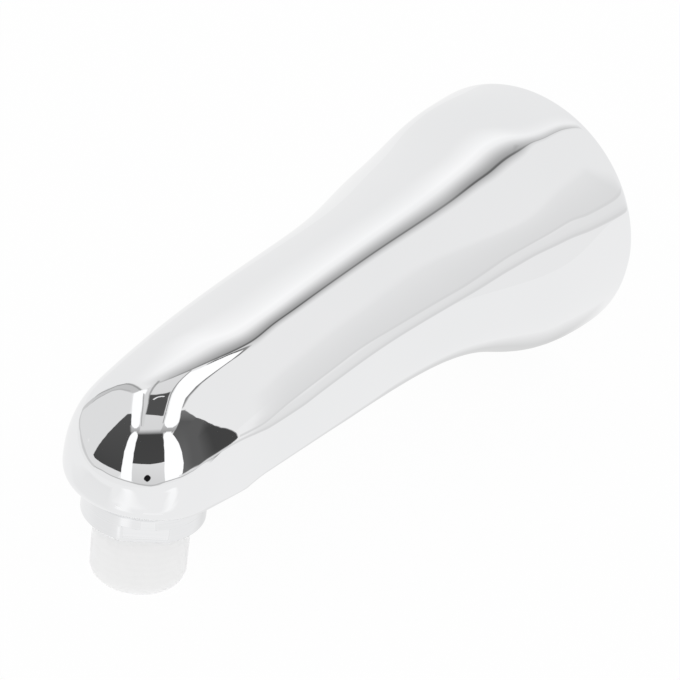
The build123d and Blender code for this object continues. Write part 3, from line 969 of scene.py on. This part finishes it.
# Chrome on a turned nipple: the lathe's fine rings show under the plating.
# A lathe leaves rings of about 0.1 mm, too fine to show, so they are drawn at 0.2778 mm
def turnedChromeNipple():
    material, tree = newMaterial("turnedChromeNipple")
    place = addNode(tree, "ShaderNodeTexCoord").outputs["Object"]
    ring, drift = 1 / (0.2778 * mm), 1 / (16.67 * mm)   # ring spacing, and how far a ring keeps its depth
    turned = addNode(tree, "ShaderNodeMapping", {"Scale": (drift, drift, ring)}, {"Vector": place})
    rings = addNode(tree, "ShaderNodeTexNoise", {"Scale": 1.0, "Detail": 3.0}, {"Vector": turned.outputs[0]})
    haze = addNode(tree, "ShaderNodeTexNoise", {"Scale": 1 / (2 * mm), "Detail": 3.0}, {"Vector": place})
    bump = addNode(tree, "ShaderNodeBump", {"Strength": 0.2, "Distance": 0.012 * mm}, {"Height": rings.outputs["Fac"]})
    rough = addNode(tree, "ShaderNodeMapRange", {"To Min": 0.03, "To Max": 0.09}, {"Value": haze.outputs["Fac"]})
    tint = addNode(tree, "ShaderNodeValToRGB", links={"Fac": rings.outputs["Fac"]})
    tint.color_ramp.elements[0].color = linearColour("ECEDEE")
    tint.color_ramp.elements[1].color = linearColour("F3F3F4")
    shader = addNode(tree, "ShaderNodeBsdfPrincipled", {"Metallic": 1.0}, {
        "Base Color": tint.outputs["Color"], "Roughness": rough.outputs[0], "Normal": bump.outputs[0]})
    addNode(tree, "ShaderNodeOutputMaterial", links={"Surface": shader.outputs[0]})
    return material


# Soft moulded polyethylene: milky, light passes through its thin wall, and the thread inside just shows, drawn as
# painted shade: faint bands in the colour at the thread's pitch.
# The mould's grain is about 0.2 mm and too fine to show, so it is drawn at 1.111 mm
def mouldedPolyethylene():
    material, tree = newMaterial("mouldedPolyethylene")
    place = addNode(tree, "ShaderNodeTexCoord").outputs["Object"]
    grain = addNode(tree, "ShaderNodeTexNoise", {"Scale": 1 / (1.111 * mm), "Detail": 3.0}, {"Vector": place})
    flow = addNode(tree, "ShaderNodeTexNoise", {"Scale": 1 / (4.545 * mm)}, {"Vector": place})   # sheen of the flow
    # painted shade of the thread seen through the wall: bands at the thread's pitch; a wave texture counts 20 radians
    # to a unit
    thread = addNode(tree, "ShaderNodeTexWave", {
        "bands_direction": "Z", "Scale": 2 * math.pi / 20 / (nipple["pitch"] * mm), "Distortion": 1.2, "Detail": 1.0}, {
        "Vector": place})
    bump = addNode(tree, "ShaderNodeBump", {"Strength": 0.25, "Distance": 0.05 * mm}, {"Height": grain.outputs["Fac"]})
    rough = addNode(tree, "ShaderNodeMapRange", {"To Min": 0.32, "To Max": 0.46}, {"Value": flow.outputs["Fac"]})
    # painted shade: the colour steps between FEFEFE and FFFFFF across the thread's bands
    tint = addNode(tree, "ShaderNodeValToRGB", links={"Fac": thread.outputs["Fac"]})
    tint.color_ramp.elements[0].color = linearColour("FEFEFE")
    tint.color_ramp.elements[1].color = linearColour("FFFFFF")
    shader = addNode(tree, "ShaderNodeBsdfPrincipled", {
        "IOR": 1.51, "Subsurface Weight": 0.35, "Subsurface Radius": (1.0, 1.0, 1.0), "Subsurface Scale": 2 * mm}, {
        "Base Color": tint.outputs["Color"], "Roughness": rough.outputs[0], "Normal": bump.outputs[0]})
    addNode(tree, "ShaderNodeOutputMaterial", links={"Surface": shader.outputs[0]})
    return material


# Machined brass: warm yellow, tool rings round its axis and a dull bloom where it was handled.
# Tool rings are about 0.1 mm, too fine to show, so they are drawn at 0.3333 mm
def machinedBrass():
    material, tree = newMaterial("machinedBrass")
    place = addNode(tree, "ShaderNodeTexCoord").outputs["Object"]
    ring, drift = 1 / (0.3333 * mm), 1 / (16.67 * mm)
    turned = addNode(tree, "ShaderNodeMapping", {"Scale": (drift, ring, drift)}, {"Vector": place})
    rings = addNode(tree, "ShaderNodeTexNoise", {"Scale": 1.0, "Detail": 3.0}, {"Vector": turned.outputs[0]})
    bloom = addNode(tree, "ShaderNodeTexNoise", {"Scale": 1 / (6.25 * mm), "Detail": 5.0, "Roughness": 0.6}, {
        "Vector": place})
    tint = addNode(tree, "ShaderNodeValToRGB", links={"Fac": bloom.outputs["Fac"]})
    tint.color_ramp.elements[0].position = 0.3
    tint.color_ramp.elements[0].color = linearColour("B48A45")
    tint.color_ramp.elements[1].position = 0.75
    tint.color_ramp.elements[1].color = linearColour("D9B56E")
    bump = addNode(tree, "ShaderNodeBump", {"Strength": 0.6, "Distance": 0.03 * mm}, {"Height": rings.outputs["Fac"]})
    rough = addNode(tree, "ShaderNodeMapRange", {"To Min": 0.18, "To Max": 0.38}, {"Value": bloom.outputs["Fac"]})
    shader = addNode(tree, "ShaderNodeBsdfPrincipled", {"Metallic": 1.0}, {
        "Base Color": tint.outputs["Color"], "Roughness": rough.outputs[0], "Normal": bump.outputs[0]})
    addNode(tree, "ShaderNodeOutputMaterial", links={"Surface": shader.outputs[0]})
    return material


# Moulded sealing rubber: near black, matt, with a fine dusty grain.
# The dust is about 0.05 mm and too fine to show, so it is drawn at 0.8333 mm
def mouldedRubber():
    material, tree = newMaterial("mouldedRubber")
    place = addNode(tree, "ShaderNodeTexCoord").outputs["Object"]
    grain = addNode(tree, "ShaderNodeTexNoise", {"Scale": 1 / (0.8333 * mm), "Detail": 4.0}, {"Vector": place})
    bump = addNode(tree, "ShaderNodeBump", {"Strength": 0.4, "Distance": 0.04 * mm}, {"Height": grain.outputs["Fac"]})
    rough = addNode(tree, "ShaderNodeMapRange", {"To Min": 0.55, "To Max": 0.8}, {"Value": grain.outputs["Fac"]})
    tint = addNode(tree, "ShaderNodeValToRGB", links={"Fac": grain.outputs["Fac"]})
    tint.color_ramp.elements[0].color = linearColour("141415")
    tint.color_ramp.elements[1].color = linearColour("2A2A2B")
    shader = addNode(tree, "ShaderNodeBsdfPrincipled", links={
        "Base Color": tint.outputs["Color"], "Roughness": rough.outputs[0], "Normal": bump.outputs[0]})
    addNode(tree, "ShaderNodeOutputMaterial", links={"Surface": shader.outputs[0]})
    return material


chromeCasting, chromeNipple = polishedChromeCasting(), turnedChromeNipple()
polyethylene, brass, rubber = mouldedPolyethylene(), machinedBrass(), mouldedRubber()
finishes = {
    "spout_body": chromeCasting, "outlet_nipple": chromeNipple, "thread_cap": polyethylene,
    "inlet_bush": brass, "inlet_o_ring": rubber, "outlet_gasket": rubber,
}
for name, material in finishes.items():
    wear(nodes[name], material)
wear(shell, chromeCasting)
wear(outletNipple, chromeNipple)
wear(threadCap, polyethylene)
wear(inletBush, brass)
print("finishes on", len(finishes), "nodes")

bpy.context.scene.view_settings.view_transform = "Standard"
